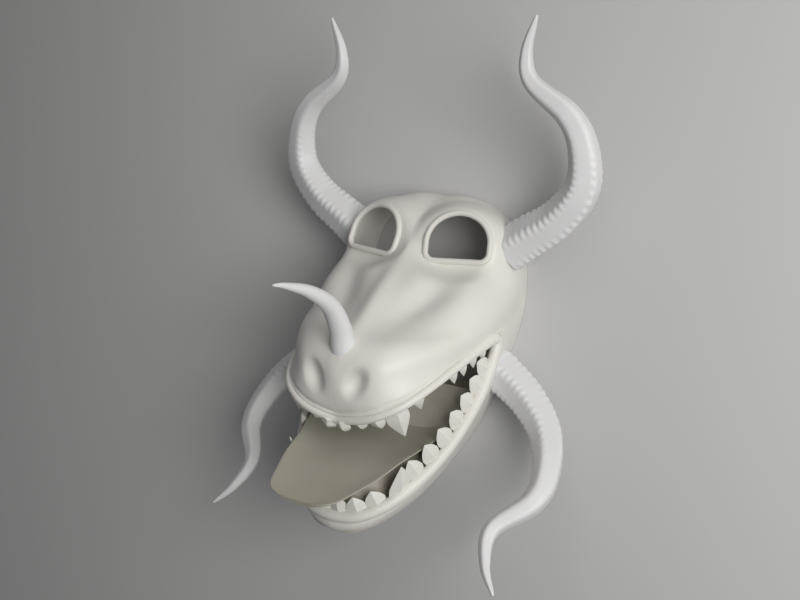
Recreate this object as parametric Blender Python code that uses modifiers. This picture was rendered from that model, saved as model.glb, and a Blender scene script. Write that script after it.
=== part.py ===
"""A vejigante mask: a horned beast's head with open jaws, printed in white plastic.

The mask lies on its rear rim in the plane Z = 0 and looks up along +Z. Its crown is towards +Y.
The head is one hollow shell with its lips, teeth, tongue and eye rims, and five horns seat on it.
"""

import math

import bmesh
import bpy
from mathutils import Quaternion, Vector

MM = 0.001

# The head: half of it is drawn, as shares of these three sizes
HEAD_WIDTH = 172 * MM       # across the corners of the mouth
HEAD_HEIGHT = 197 * MM      # from the upper lip to the crown
HEAD_DEPTH = 158 * MM       # from the rear rim to the upper lip
WALL = 3.2 * MM             # the shell all over
SEAT_GAP = 0.3 * MM         # between a horn and the head it seats on
REAR_TRIM = 5 * MM          # cut off behind the rear plane, which leaves the rim flat

# Lips, eye rims and the floor of the mouth
UPPER_LIP_RADIUS = 3.6 * MM
LOWER_LIP_RADIUS = 5.0 * MM
EYE_WIDTH = 52 * MM
EYE_HEIGHT = 38 * MM
EYE_CORNER = 6 * MM
EYE_RIM_RADIUS = 2.8 * MM
FLOOR_THICKNESS = 3 * MM

# Teeth
LOWER_TOOTH_WIDTH = 18 * MM
LOWER_TOOTH_HEIGHT = 20 * MM
LOWER_FRONT_HEIGHT = 15.5 * MM
UPPER_TOOTH_WIDTH = 14.5 * MM
UPPER_TOOTH_HEIGHTS = (8.5 * MM, 9.5 * MM, 12.5 * MM)    # from the middle out
SIDE_TOOTH_WIDTH = 11 * MM
SIDE_TOOTH_HEIGHT = 14 * MM
FANG_WIDTH = 19.5 * MM
FANG_HEIGHT = 29 * MM
TOOTH_THICKNESS = 7.5 * MM
TOOTH_ROOT = 4 * MM         # how deep a tooth is set into its lip
TOOTH_INWARD = 0.6          # how far behind the middle of its lip it stands, as a share of the lip's radius
TOOTH_RISE = 0.5            # and how far along its own axis

# Tongue
TONGUE_THICKNESS = 7 * MM
TONGUE_DISH = 9 * MM        # how far its middle lies below its edges

# The four side horns: an upper and a lower pair
HORN_REACH = 186 * MM       # from where the bend starts to the tip, straight
UPPER_HORN_RADIUS = 19.2 * MM
LOWER_HORN_RADIUS = 18 * MM
HORN_TIP_RADIUS = 1.0 * MM
HORN_SIDES = 10             # a corner and a flat, five times
HORN_CORNER = 1.04          # radius at a corner and at a flat, as shares of the horn's own
HORN_FLAT = 0.93
UPPER_HORN_LEAN = math.radians(18)
LOWER_HORN_LEAN = math.radians(33)
LOWER_HORN_SPLAY = math.radians(17.8)
LOWER_HORN_TWIST = math.radians(-10.5)

# The horn on the nose
NOSE_HORN_REACH = 113 * MM
NOSE_HORN_RADIUS = 10.5 * MM
NOSE_HORN_TIP_RADIUS = 0.9 * MM
NOSE_HORN_SIDES = 10

# How finely the shapes are divided
UPPER_COLUMNS = 26
NOSE_DENSITY = 0.5
JAW_COLUMNS = 12
ROWS = (0.0, 0.045, 0.085, 0.125, 0.165, 0.22, 0.31, 0.42, 0.54, 0.66, 0.8, 1.0)
TOOTH_SIDES = 4
LIP_SIDES = 6
HORN_RINGS = 18
NOSE_HORN_RINGS = 11

# Middle line of the upper head from lip to rear rim: along the row, up, forward
CROWN_LINE = (
    (0.0, 0.0, 1.0),
    (0.035, 0.06, 1.044),
    (0.08, 0.152, 1.07),
    (0.125, 0.244, 1.082),
    (0.175, 0.325, 1.03),
    (0.24, 0.401, 0.905),
    (0.33, 0.513, 0.766),
    (0.44, 0.645, 0.601),
    (0.56, 0.787, 0.455),
    (0.68, 0.912, 0.33),
    (0.78, 0.99, 0.22),
    (0.86, 1.014, 0.139),
    (1.0, 1.015, 0.0),
)
# Middle line under the jaw from lip to rear rim
KEEL_LINE = (
    (0.0, -0.411, 0.962),
    (0.1, -0.475, 0.94),
    (0.22, -0.505, 0.84),
    (0.42, -0.5, 0.62),
    (0.7, -0.45, 0.32),
    (1.0, -0.386, 0.0),
)
# Edges of the mouth from its middle to its corner: along the lip, across, up, forward
UPPER_LIP = (
    (0.0, 0.0, 0.0, 1.0),
    (0.2, 0.28, 0.025, 1.019),
    (0.4, 0.5, 0.066, 1.01),
    (0.6, 0.698, 0.132, 0.937),
    (0.8, 0.86, 0.249, 0.72),
    (1.0, 1.0, 0.426, 0.304),
)
LOWER_LIP = (
    (0.0, 0.0, -0.411, 0.962),
    (0.2, 0.314, -0.386, 0.93),
    (0.4, 0.616, -0.279, 0.81),
    (0.6, 0.849, -0.086, 0.608),
    (0.8, 0.977, 0.162, 0.418),
    (1.0, 1.0, 0.426, 0.304),
)
CORNER_UP, CORNER_FORWARD = UPPER_LIP[-1][2:]
# The line on each side from the corner of the mouth to the rear rim: where it ends, up and across
TEMPLE_UP = 0.58
TEMPLE_ACROSS = 0.985
# How square an arch across the head is: along the row, exponent
UPPER_SQUARENESS = ((0.0, 2.2), (0.1, 2.15), (0.25, 2.3), (0.45, 2.6), (0.65, 2.65), (0.8, 2.5), (1.0, 2.4))
JAW_RIM_SQUARENESS = 1.65
JAW_FULLNESS = 0.03
# Fullness of the sides beyond the arches' own width
SIDE_FULLNESS = ((0.0, 0.0), (0.2, 0.02), (0.5, 0.06), (0.8, 0.04), (1.0, 0.0))
LIP_FADE = 0.4              # how far up a row the lip's own line still shows
LIP_BLEND = 0.8             # past this share of the lip the two lips' radii meet in their mean

# Frame of an eye: the middle of its flat lower edge as across, up and forward, then its across and its up
EYE_MIDDLE = (0.512, 0.719, 0.428)
EYE_ACROSS = Vector((0.97, 0.072, -0.225)).normalized()
EYE_UP = Vector((-0.11, 0.965, -0.17)).normalized()
EYE_OUT = EYE_ACROSS.cross(EYE_UP).normalized()
# The carving of the face: how far each form stands out, its middle across, its middle up as a share of the
# head's height, its slant, and its half length and half width. The others are shares of the head's width.
CARVING = (
    ("bridge", 0.02, 0.0, 0.525, 90, 0.24, 0.055),
    ("hollow under the eye", -0.044, 0.227, 0.533, 52, 0.175, 0.092),
    ("cheekbone", 0.027, 0.385, 0.575, 110, 0.16, 0.085),
    ("flank of the muzzle", -0.012, 0.36, 0.262, 90, 0.12, 0.09),
    ("bulb of the nose", 0.012, 0.0, 0.175, 90, 0.1, 0.05),
    ("wing of the nostril", 0.005, 0.21, 0.205, 75, 0.1, 0.05),
    ("nostril", -0.042, 0.116, 0.178, 62, 0.075, 0.048),
    ("brow", 0.006, 0.2, 0.987, 0, 0.11, 0.07),
    ("dip of the crown", -0.012, 0.0, 0.995, 90, 0.11, 0.08),
)
CARVED_FROM, CARVED_FULLY = -0.03, 0.08     # the carving fades out towards the lip between these heights
EYE_FLAT, EYE_FADE = 1.15, 2.1              # the head is flat round an eye out to the first of its half sizes

EYE_WIDEST = 0.36           # how far up an eye is widest, as a share of its height
EYE_CUT_REACH = 30 * MM     # how far an eye's cut reaches each way

# The floor of the mouth and the tongue
FLOOR_ROW = 0.13            # how far below the lip the floor meets the jaw's wall
FLOOR_FRONT, FLOOR_REAR = 0.1, 0.8      # where along the lip the floor starts and ends
FLOOR_STEPS = 9
TONGUE_REAR = (0.165, 0.04)     # edges of the tongue at its rear: up, forward
TONGUE_TIP = (-0.292, 1.285)     # and at its tip
TONGUE_WIDTHS = (
    (0.0, 0.86),
    (0.26, 0.83),
    (0.41, 0.775),
    (0.54, 0.7),
    (0.655, 0.615),
    (0.77, 0.555),
    (0.88, 0.46),
    (0.95, 0.39),
    (0.985, 0.31),
    (1.0, 0.22),
)
TONGUE_ROWS = (0.0, 0.14, 0.28, 0.42, 0.54, 0.655, 0.77, 0.88, 0.95, 0.985, 1.0)
TONGUE_ACROSS = (-1.0, -0.75, -0.5, -0.25, 0.0, 0.25, 0.5, 0.75, 1.0)      # points over the tongue
TONGUE_UNDER = (1.0, 0.94, 0.5, 0.0, -0.5, -0.94, -1.0)                     # and under it
TONGUE_BROW = 0.96          # how wide its upper face is, as a share of its whole width
TONGUE_ROOT_FRONT, TONGUE_ROOT_REAR = 0.14, 0.56    # where along the lip the root under it stands
TONGUE_ROOT_STEPS = 3
TONGUE_ROOT_WIDTH = 0.7     # how much of the floor's width the root takes

# Teeth: the way they point, their outlines and their places
UPPER_TOOTH_AXIS = Vector((0, -0.8, -0.6))
LOWER_TOOTH_AXIS = Vector((0, 0.9, 0.43))
UPPER_FANG_AXIS = Vector((0.09, -0.8, -0.6))
LOWER_FANG_AXIS = Vector((0.23, 0.85, 0.48))
# Half of a tooth's outline: height and width, as shares of its own
LEAF = ((0.0, 0.86), (0.35, 1.0), (0.72, 0.66))
POINTED = ((0.0, 0.93), (0.33, 1.0), (0.72, 0.5))
# Teeth from the middle out, as shares of their lip's length
UPPER_FRONT = (0.037, 0.114, 0.2)
UPPER_FANG = 0.3
UPPER_SIDE = (0.42, 0.64, 0.71, 0.785, 0.86)
LOWER_FRONT = (0.038, 0.112, 0.188)
LOWER_FANG = 0.278
LOWER_SIDE = (0.366, 0.45, 0.532, 0.612, 0.69, 0.766, 0.84)

# The bends of the side horns, each in its own plane: along the horn, then along and out from the head, as
# shares of its reach. The lower pair leaves the head straighter.
UPPER_HORN_BEND = (
    (-0.09, -0.061, -0.085),
    (0.0, 0.0, 0.0),
    (0.17, 0.113, 0.155),
    (0.33, 0.267, 0.259),
    (0.48, 0.448, 0.253),
    (0.63, 0.584, 0.178),
    (0.755, 0.718, 0.009),
    (0.87, 0.844, -0.016),
    (1.0, 1.0, 0.031),
)
LOWER_HORN_BEND = (
    (-0.09, -0.12, -0.035),
    (0.0, -0.053, 0.041),
    (0.17, 0.087, 0.161),
    (0.33, 0.264, 0.247),
    (0.48, 0.455, 0.248),
    (0.63, 0.592, 0.184),
    (0.755, 0.718, 0.014),
    (0.87, 0.87, -0.007),
    (1.0, 1.0, 0.031),
)
# The nose horn's bend in the plane of symmetry: along the horn, then up and forward
NOSE_HORN_BEND = (
    (-0.1, -0.09, -0.05),
    (0.0, 0.0, 0.0),
    (0.16, 0.154, 0.078),
    (0.35, 0.313, 0.236),
    (0.6, 0.41, 0.503),
    (0.85, 0.4455, 0.782),
    (1.0, 0.4465, 0.895),
)
# Where each horn starts on the head: across, up, forward
NOSE_HORN_FOOT = (0.0, 0.3, 1.02)
UPPER_HORN_FOOT = (1.094, 0.8456, 0.2205)
LOWER_HORN_FOOT = (0.942, 0.1804, 0.2188)
HORN_TAPER = 0.73           # a side horn thins as this power of what is left of its length
NOSE_HORN_TAPER = 0.85


def spline(stations, t):
    """The values at t on a smooth curve through stations of (t, value, ...)."""
    last = len(stations) - 1
    t = min(max(t, stations[0][0]), stations[last][0])
    i = max(k for k in range(last) if stations[k][0] <= t)
    (t0, *p0), (t1, *p1) = stations[i], stations[i + 1]

    def slope(k, j):
        before, after = stations[max(k - 1, 0)], stations[min(k + 1, last)]
        return (after[j] - before[j]) / (after[0] - before[0])

    span = t1 - t0
    u = (t - t0) / span
    values = []
    for j in range(1, len(stations[0])):
        m0, m1 = slope(i, j) * span, slope(i + 1, j) * span
        a, b = p0[j - 1], p1[j - 1]
        values.append(
            (2 * u**3 - 3 * u**2 + 1) * a
            + (u**3 - 2 * u**2 + u) * m0
            + (3 * u**2 - 2 * u**3) * b
            + (u**3 - u**2) * m1
        )
    return values if len(values) > 1 else values[0]


def smooth_step(low, high, value):
    t = min(max((value - low) / (high - low), 0.0), 1.0)
    return t * t * (3 - 2 * t)


def hump(distance):
    """A round hump: 1 at distance 0, fading to nothing by about 2."""
    return math.exp(-distance * distance)


def place(across, up, forward):
    """A point of the head from its shares of width, height and depth. The upper lip is at Y = 0."""
    return Vector((across * HEAD_WIDTH / 2, up * HEAD_HEIGHT, forward * HEAD_DEPTH))


def turn(a, power):
    """How far across (-1 to 1) and how high (0 to 1) a squared arch is at share a from its middle."""
    angle = a * math.pi / 2
    across, rise = math.sin(angle), math.cos(angle)
    size = (abs(across) ** power + abs(rise) ** power) ** (1 / power)
    return across / size, rise / size


def side_line(row):
    """The side of the head behind the corner of the mouth: across, up, forward."""
    return (
        1 + (TEMPLE_ACROSS - 1) * row,
        CORNER_UP + (TEMPLE_UP - CORNER_UP) * row,
        CORNER_FORWARD * (1 - row),
    )


def arch(a, row):
    """A point of the arch over the upper head at share a from its middle (0) to its side (-1 or 1)."""
    middle_up, middle_forward = spline(CROWN_LINE, row)
    side_across, side_up, side_forward = side_line(row)
    across, rise = turn(a, spline(UPPER_SQUARENESS, row))
    full = side_across + spline(SIDE_FULLNESS, row) * math.sin(math.pi * rise)
    up = side_up + (middle_up - side_up) * rise
    forward = side_forward + (middle_forward - side_forward) * rise
    return place(across * full, up, forward)


def lip_point(a, lip):
    across, up, forward = spline(lip, abs(a))
    return place(math.copysign(across, a), up, forward)


def upper_point(a, row):
    """The upper head's outer face: arches that follow the lip's own line near the mouth."""
    fade = max(0.0, 1 - row / LIP_FADE) ** 2
    return arch(a, row) + (lip_point(a, UPPER_LIP) - arch(a, 0.0)) * fade


def jaw_point(a, row):
    """The jaw's outer face: lines from the lip to the rear rim, bulging as the keel does."""
    (up_0, forward_0), (up, forward), (up_1, forward_1) = (spline(KEEL_LINE, t) for t in (0.0, row, 1.0))
    across, rise = turn(a, JAW_RIM_SQUARENESS)
    side_across, side_up, _ = side_line(1.0)
    rim = place(across * side_across, side_up + (up_1 - side_up) * rise, 0.0)
    bulge = place(0.0, up - up_0 - (up_1 - up_0) * row, forward - forward_0 - (forward_1 - forward_0) * row)
    point = lip_point(a, LOWER_LIP).lerp(rim, row) + bulge * rise
    point.x *= 1 + JAW_FULLNESS * math.sin(math.pi * row) * rise
    return point


def eye_share(point):
    """How near a point is to an eye opening, as a share of the eye's half sizes."""
    seen = Vector((abs(point.x), point.y, point.z)) - place(*EYE_MIDDLE)
    across = seen.dot(EYE_ACROSS) / (EYE_WIDTH / 2)
    up = (seen.dot(EYE_UP) - EYE_HEIGHT * 0.45) / (EYE_HEIGHT * 0.55)
    return math.hypot(across, up)


def carving(point):
    """How far the carving moves the face outward at a point."""
    depth = 0.0
    for _, out, across, up, slant, long, wide in CARVING:
        dx = abs(point.x) / HEAD_WIDTH - across
        dy = (point.y - up * HEAD_HEIGHT) / HEAD_WIDTH
        along_x, along_y = math.cos(math.radians(slant)), math.sin(math.radians(slant))
        lengthwise = (dx * along_x + dy * along_y) / long
        depth += out * hump(math.hypot(lengthwise, (dx * along_y - dy * along_x) / wide))
    return depth * HEAD_WIDTH * smooth_step(CARVED_FROM, CARVED_FULLY, point.y / HEAD_HEIGHT)


def carve(point, normal):
    """A point of the face after its carving, on a flat around each eye."""
    moved = point + normal * carving(point)
    near = 1 - smooth_step(EYE_FLAT, EYE_FADE, eye_share(moved))
    foot = place(*EYE_MIDDLE)
    foot.x = math.copysign(foot.x, moved.x)
    out = Vector((math.copysign(EYE_OUT.x, moved.x), EYE_OUT.y, EYE_OUT.z))
    return moved - out * (moved - foot).dot(out) * near


def grid_mesh(name, rings):
    """A sheet over closed rings of points, its normals outward."""
    mesh = bpy.data.meshes.new(name)
    bm = bmesh.new()
    rows = [[bm.verts.new(p) for p in ring] for ring in rings]
    for lower, upper in zip(rows[:-1], rows[1:]):
        for i in range(len(lower)):
            j = (i + 1) % len(lower)
            bm.faces.new((lower[i], upper[i], upper[j]))
            bm.faces.new((lower[i], upper[j], lower[j]))
    bm.normal_update()
    bm.to_mesh(mesh)
    bm.free()
    return mesh


def new_object(name, mesh, collection, material=None):
    piece = bpy.data.objects.new(name, mesh)
    collection.objects.link(piece)
    if material:
        mesh.materials.append(material)
    return piece


def hide(piece):
    piece.hide_render = True
    piece.display_type = "WIRE"
    return piece


def boolean(piece, tool, operation, crossing=False):
    """A cut or a join; crossing says that the tool's own pieces may reach into each other."""
    step = piece.modifiers.new(tool.name, "BOOLEAN")
    step.object = tool
    step.operation = operation
    step.solver = "EXACT"
    step.use_self = crossing


def plastic(name, color, roughness):
    material = bpy.data.materials.new(name)
    material.use_nodes = True
    shader = material.node_tree.nodes["Principled BSDF"]
    shader.inputs["Base Color"].default_value = (*color, 1)
    shader.inputs["Roughness"].default_value = roughness
    material.diffuse_color = (*color, 1)
    return material


def tube(name, points, radius, collection, closed=True, sides=1):
    """A round bar along points, as a closed mesh."""
    curve = bpy.data.curves.new(name, "CURVE")
    curve.dimensions = "3D"
    curve.bevel_depth = radius
    curve.bevel_resolution = sides
    curve.use_fill_caps = True
    line = curve.splines.new("POLY")
    line.points.add(len(points) - 1)
    for knot, point in zip(line.points, points):
        knot.co = (*point, 1)
    line.use_cyclic_u = closed
    bar = bpy.data.objects.new(name + "_line", curve)
    collection.objects.link(bar)
    bpy.context.view_layer.update()
    mesh = bpy.data.meshes.new_from_object(bar.evaluated_get(bpy.context.evaluated_depsgraph_get()))
    bpy.data.objects.remove(bar)
    bm = bmesh.new()
    bm.from_mesh(mesh)
    bmesh.ops.remove_doubles(bm, verts=bm.verts, dist=0.01 * MM)
    bmesh.ops.recalc_face_normals(bm, faces=bm.faces)
    bm.to_mesh(mesh)
    bm.free()
    return hide(new_object(name, mesh, collection))


def upper_share(column):
    """The share of the arch at an even column: columns lie closer together over the nose."""
    return column * (NOSE_DENSITY + (1 - NOSE_DENSITY) * column * column)


def outer_rings(offset=0.0):
    """Rings of the head's outer face from the mouth's edge to the rear rim, moved out by offset."""
    upper = [upper_share(1 - 2 * i / UPPER_COLUMNS) for i in range(UPPER_COLUMNS)]
    jaw = [-1 + 2 * i / JAW_COLUMNS for i in range(JAW_COLUMNS)]
    rings = [
        [upper_point(a, row) for a in upper] + [jaw_point(a, row) for a in jaw] for row in ROWS
    ]
    plain = grid_mesh("plain", rings)
    count = len(rings[0])
    for vertex in plain.vertices:
        row, column = divmod(vertex.index, count)
        point = carve(vertex.co, vertex.normal)
        rings[row][column] = point
    carved = grid_mesh("carved", rings)
    for vertex in carved.vertices:
        row, column = divmod(vertex.index, count)
        rings[row][column] = vertex.co + vertex.normal * offset
    for mesh in (plain, carved):
        bpy.data.meshes.remove(mesh)
    for point in rings[-1]:
        point.z = -REAR_TRIM
    return rings


def closed_loft(name, rings, collection):
    """A closed solid through rings of points, with a flat cap on each end."""
    mesh = grid_mesh(name, rings)
    bm = bmesh.new()
    bm.from_mesh(mesh)
    bmesh.ops.holes_fill(bm, edges=[e for e in bm.edges if e.is_boundary])
    bmesh.ops.recalc_face_normals(bm, faces=bm.faces)
    bmesh.ops.triangulate(bm, faces=[f for f in bm.faces if len(f.verts) > 4])
    bm.to_mesh(mesh)
    bm.free()
    return new_object(name, mesh, collection)


def joined(name, meshes, collection):
    """Closed meshes as one hidden object."""
    bm = bmesh.new()
    for mesh in meshes:
        bm.from_mesh(mesh)
        bpy.data.meshes.remove(mesh)
    mesh = bpy.data.meshes.new(name)
    bm.to_mesh(mesh)
    bm.free()
    return hide(new_object(name, mesh, collection))


# Eyes
def eye_outline(margin):
    """Points round an eye opening: flat below, round above, moved outward by margin."""
    half = EYE_WIDTH / 2 + margin
    corner = EYE_CORNER + margin
    side = EYE_HEIGHT * EYE_WIDEST
    points = []
    for i in range(4):
        angle = -math.pi / 2 + i * math.pi / 6
        points.append((half - corner + corner * math.cos(angle), corner * (1 + math.sin(angle)) - margin))
    for i in range(11):
        angle = i * math.pi / 10
        points.append((half * math.cos(angle), side + (EYE_HEIGHT + margin - side) * math.sin(angle)))
    points += [(-x, y) for x, y in reversed(points[:4])]
    return points


def eye_points(side, margin, out=0.0):
    points = []
    for across, up in eye_outline(margin):
        point = place(*EYE_MIDDLE) + EYE_ACROSS * across + EYE_UP * up + EYE_OUT * out
        points.append(Vector((side * point.x, point.y, point.z)))
    return points


def eye_cutter(name, side, collection):
    rings = [eye_points(side, EYE_RIM_RADIUS * 0.9, out) for out in (-EYE_CUT_REACH, EYE_CUT_REACH)]
    return hide(closed_loft(name, rings, collection))


def eye_rim(name, side, gap, collection):
    """The bead round an eye, or what a horn has to leave free for it."""
    points = eye_points(side, EYE_RIM_RADIUS, EYE_RIM_RADIUS * 0.2)
    return tube(name, points, EYE_RIM_RADIUS + gap, collection)


# Floor of the mouth and tongue
def floor_section(a):
    """The floor's edge at share a of the lip, set inside the wall, and the floor's downward direction."""
    edge = jaw_point(a, FLOOR_ROW)
    below, beside = jaw_point(a, FLOOR_ROW + 0.02), jaw_point(a + 0.02, FLOOR_ROW)
    outward = (below - edge).cross(beside - edge).normalized()
    inset = edge - outward * math.copysign(WALL / 2, outward.x)
    along = jaw_point(a + 0.05, FLOOR_ROW) - edge
    down = Vector((0, -along.z, along.y)).normalized()
    return inset, down if down.y < 0 else -down


def mouth_floor(collection):
    rings = []
    for i in range(FLOOR_STEPS + 1):
        a = FLOOR_FRONT + (FLOOR_REAR - FLOOR_FRONT) * i / FLOOR_STEPS
        edge, down = floor_section(a)
        low = edge + down * FLOOR_THICKNESS
        flip = Vector((-1, 1, 1))
        rings.append([edge, edge * flip, low * flip, low])
    return hide(closed_loft("mouth_floor", rings, collection))


def tongue_edge(t):
    up = TONGUE_REAR[0] + (TONGUE_TIP[0] - TONGUE_REAR[0]) * t
    forward = TONGUE_REAR[1] + (TONGUE_TIP[1] - TONGUE_REAR[1]) * t
    return place(spline(TONGUE_WIDTHS, t), up, forward)


def tongue_ring(t):
    """A section of the tongue: dished above, with rounded edges."""
    edge = tongue_edge(t)
    fall = place(0, TONGUE_TIP[0] - TONGUE_REAR[0], TONGUE_TIP[1] - TONGUE_REAR[1]).normalized()
    over = Vector((0, fall.z, -fall.y))
    dish = TONGUE_DISH * (1 - 0.7 * t**3)
    half = TONGUE_THICKNESS / 2
    ring = []
    for v in TONGUE_ACROSS:
        depth = half + dish * (1 - abs(v) ** 2.5)
        ring.append(Vector((edge.x * v * TONGUE_BROW, edge.y, edge.z)) + over * (half * 0.6 - depth + half))
    for v in TONGUE_UNDER:
        depth = half + dish * (1 - abs(v) ** 2.5) + (half * 1.9 if abs(v) < 1 else half * 0.9)
        ring.append(Vector((edge.x * v, edge.y, edge.z)) + over * (half - depth))
    return ring


def tongue(collection):
    return hide(closed_loft("tongue", [tongue_ring(t) for t in TONGUE_ROWS], collection))


def tongue_root(collection):
    """The wedge under the tongue that stands on the floor."""
    rings = []
    for i in range(TONGUE_ROOT_STEPS + 1):
        a = TONGUE_ROOT_FRONT + (TONGUE_ROOT_REAR - TONGUE_ROOT_FRONT) * i / TONGUE_ROOT_STEPS
        edge, down = floor_section(a)
        t = (edge.z / HEAD_DEPTH - TONGUE_REAR[1]) / (TONGUE_TIP[1] - TONGUE_REAR[1])
        top = tongue_edge(t) - Vector((0, TONGUE_DISH + TONGUE_THICKNESS * 0.5, 0))
        half = TONGUE_ROOT_WIDTH * edge.x
        low = edge.y - FLOOR_THICKNESS * 0.5
        corners = ((half, top.y), (-half, top.y), (-half, low), (half, low))
        rings.append([Vector((x, y, edge.z)) for x, y in corners])
    return hide(closed_loft("tongue_root", rings, collection))


# Teeth
def lip_share(lip, share):
    """The lip point at a share of its length from the middle, and its direction there."""
    steps = 60
    points = [lip_point(i / steps, lip) for i in range(steps + 1)]
    lengths = [(b - a).length for a, b in zip(points[:-1], points[1:])]
    left = share * sum(lengths)
    for i, length in enumerate(lengths):
        if left <= length:
            return points[i].lerp(points[i + 1], left / length), (points[i + 1] - points[i]).normalized()
        left -= length
    return points[-1], (points[-1] - points[-2]).normalized()


def tooth_mesh(foot, along, axis, width, height, profile):
    """One faceted tooth, its root set below foot."""
    axis = axis.normalized()
    through = axis.cross(along).normalized()
    sides = TOOTH_SIDES
    rings = []
    for share, breadth in ((-TOOTH_ROOT / height, profile[0][1]),) + profile:
        ring = []
        for i in range(sides):
            angle = 2 * math.pi * i / sides
            ring.append(
                foot
                + axis * (share * height)
                + along * (math.cos(angle) * breadth * width / 2)
                + through * (math.sin(angle) * breadth * TOOTH_THICKNESS / 2)
            )
        rings.append(ring)
    mesh = grid_mesh("tooth", rings)
    bm = bmesh.new()
    bm.from_mesh(mesh)
    bm.verts.ensure_lookup_table()
    top = [bm.verts[len(profile) * sides + i] for i in range(sides)]
    tip = bm.verts.new(foot + axis * height)
    for a, b in zip(top, top[1:] + top[:1]):
        bm.faces.new((a, b, tip))
    bmesh.ops.holes_fill(bm, edges=[e for e in bm.edges if e.is_boundary])
    bmesh.ops.recalc_face_normals(bm, faces=bm.faces)
    bm.to_mesh(mesh)
    bm.free()
    return mesh


def tooth_rows():
    """The teeth of one side: lip, share of its length, width, height, profile, and the way a fang points."""
    rows = []
    for share, height in zip(UPPER_FRONT, UPPER_TOOTH_HEIGHTS):
        rows.append((UPPER_LIP, share, UPPER_TOOTH_WIDTH, height, LEAF, None))
    for share in UPPER_SIDE:
        rows.append((UPPER_LIP, share, SIDE_TOOTH_WIDTH, SIDE_TOOTH_HEIGHT, POINTED, None))
    for share in LOWER_FRONT:
        rows.append((LOWER_LIP, share, LOWER_TOOTH_WIDTH, LOWER_FRONT_HEIGHT, LEAF, None))
    for share in LOWER_SIDE:
        rows.append((LOWER_LIP, share, LOWER_TOOTH_WIDTH, LOWER_TOOTH_HEIGHT, LEAF, None))
    rows.append((UPPER_LIP, UPPER_FANG, FANG_WIDTH, FANG_HEIGHT, POINTED, UPPER_FANG_AXIS))
    rows.append((LOWER_LIP, LOWER_FANG, FANG_WIDTH, FANG_HEIGHT, POINTED, LOWER_FANG_AXIS))
    return rows


def teeth(collection):
    meshes = []
    for lip, share, width, height, profile, lean in tooth_rows():
        upper = lip is UPPER_LIP
        axis = UPPER_TOOTH_AXIS if upper else LOWER_TOOTH_AXIS
        point, along = lip_share(lip, share)
        inward = along.cross(axis).normalized()
        if inward.x > 0 or (share < 0.1 and inward.z > 0):
            inward = -inward
        radius = UPPER_LIP_RADIUS if upper else LOWER_LIP_RADIUS
        foot = point + inward * radius * TOOTH_INWARD + axis * radius * TOOTH_RISE
        points = axis - along * axis.dot(along) if lean is None else lean
        for side in (1, -1):
            flip = Vector((side, 1, 1))
            meshes.append(tooth_mesh(foot * flip, along * flip, points * flip, width, height, profile))
    return joined("teeth", meshes, collection)


# The shell
def mask_shell(parts, cutters, material):
    rings = outer_rings()
    shell = new_object("mask_shell", grid_mesh("mask_shell", rings), parts, material)
    wall = shell.modifiers.new("wall", "SOLIDIFY")
    wall.thickness = WALL
    wall.offset = -1
    wall.use_even_offset = True
    wall.use_rim = True
    for name, side in (("eye_cut_right", 1), ("eye_cut_left", -1)):
        boolean(shell, eye_cutter(name, side, cutters), "DIFFERENCE")
    for name, side in (("eye_rim_right", 1), ("eye_rim_left", -1)):
        boolean(shell, eye_rim(name, side, 0.0, cutters), "UNION")
    boolean(shell, lip_roll(cutters), "UNION")
    boolean(shell, mouth_floor(cutters), "UNION")
    boolean(shell, tongue_root(cutters), "UNION")
    boolean(shell, tongue(cutters), "UNION")
    boolean(shell, rear_cut(cutters), "DIFFERENCE")
    boolean(shell, teeth(cutters), "UNION", crossing=True)
    return shell


def rear_cut(collection):
    """A slab behind the plane Z = 0."""
    mesh = bpy.data.meshes.new("rear_cut")
    bm = bmesh.new()
    bmesh.ops.create_cube(bm, size=1.0)
    slab = Vector((2 * HEAD_WIDTH, 4 * HEAD_HEIGHT, 4 * REAR_TRIM))
    bmesh.ops.scale(bm, vec=slab, verts=bm.verts)
    bmesh.ops.translate(bm, vec=(0, 0, -slab.z / 2), verts=bm.verts)
    bm.to_mesh(mesh)
    bm.free()
    return hide(new_object("rear_cut", mesh, collection))


def lip_roll(collection):
    """The rolled edge of the mouth: one closed ring, thin over the upper jaw and thick round the lower."""
    sides = LIP_SIDES
    path = []
    for i in range(UPPER_COLUMNS):
        a = upper_share(1 - 2 * i / UPPER_COLUMNS)
        path.append((lip_point(a, UPPER_LIP), abs(a), UPPER_LIP_RADIUS))
    for i in range(JAW_COLUMNS):
        a = -1 + 2 * i / JAW_COLUMNS
        path.append((lip_point(a, LOWER_LIP), abs(a), LOWER_LIP_RADIUS))
    count = len(path)
    middle = (UPPER_LIP_RADIUS + LOWER_LIP_RADIUS) / 2
    rings = []
    for i, (point, a, radius) in enumerate(path):
        along = (path[(i + 1) % count][0] - path[i - 1][0]).normalized()
        radius += (middle - radius) * smooth_step(LIP_BLEND, 1.0, a)
        first = along.cross(Vector((0, -0.6, 0.8))).normalized()
        second = along.cross(first)
        rings.append(
            [
                point + (first * math.cos(w) + second * math.sin(w)) * radius
                for w in (2 * math.pi * k / sides for k in range(sides))
            ]
        )
    mesh = grid_mesh("lip_roll", rings + rings[:1])
    bm = bmesh.new()
    bm.from_mesh(mesh)
    bmesh.ops.remove_doubles(bm, verts=bm.verts, dist=0.01 * MM)
    bmesh.ops.recalc_face_normals(bm, faces=bm.faces)
    bm.to_mesh(mesh)
    bm.free()
    return hide(new_object("lip_roll", mesh, collection))


# Horns
def bend_points(stations, foot, along, out, reach):
    """Even points down the middle of a horn."""
    first, last = stations[0][0], stations[-1][0]
    steps = 300
    points = []
    for i in range(steps + 1):
        a, b = spline(stations, first + (last - first) * i / steps)
        points.append(foot + along * (a * reach) + out * (b * reach))
    return points


def path_length(points):
    return sum((b - a).length for a, b in zip(points[:-1], points[1:]))


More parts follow.
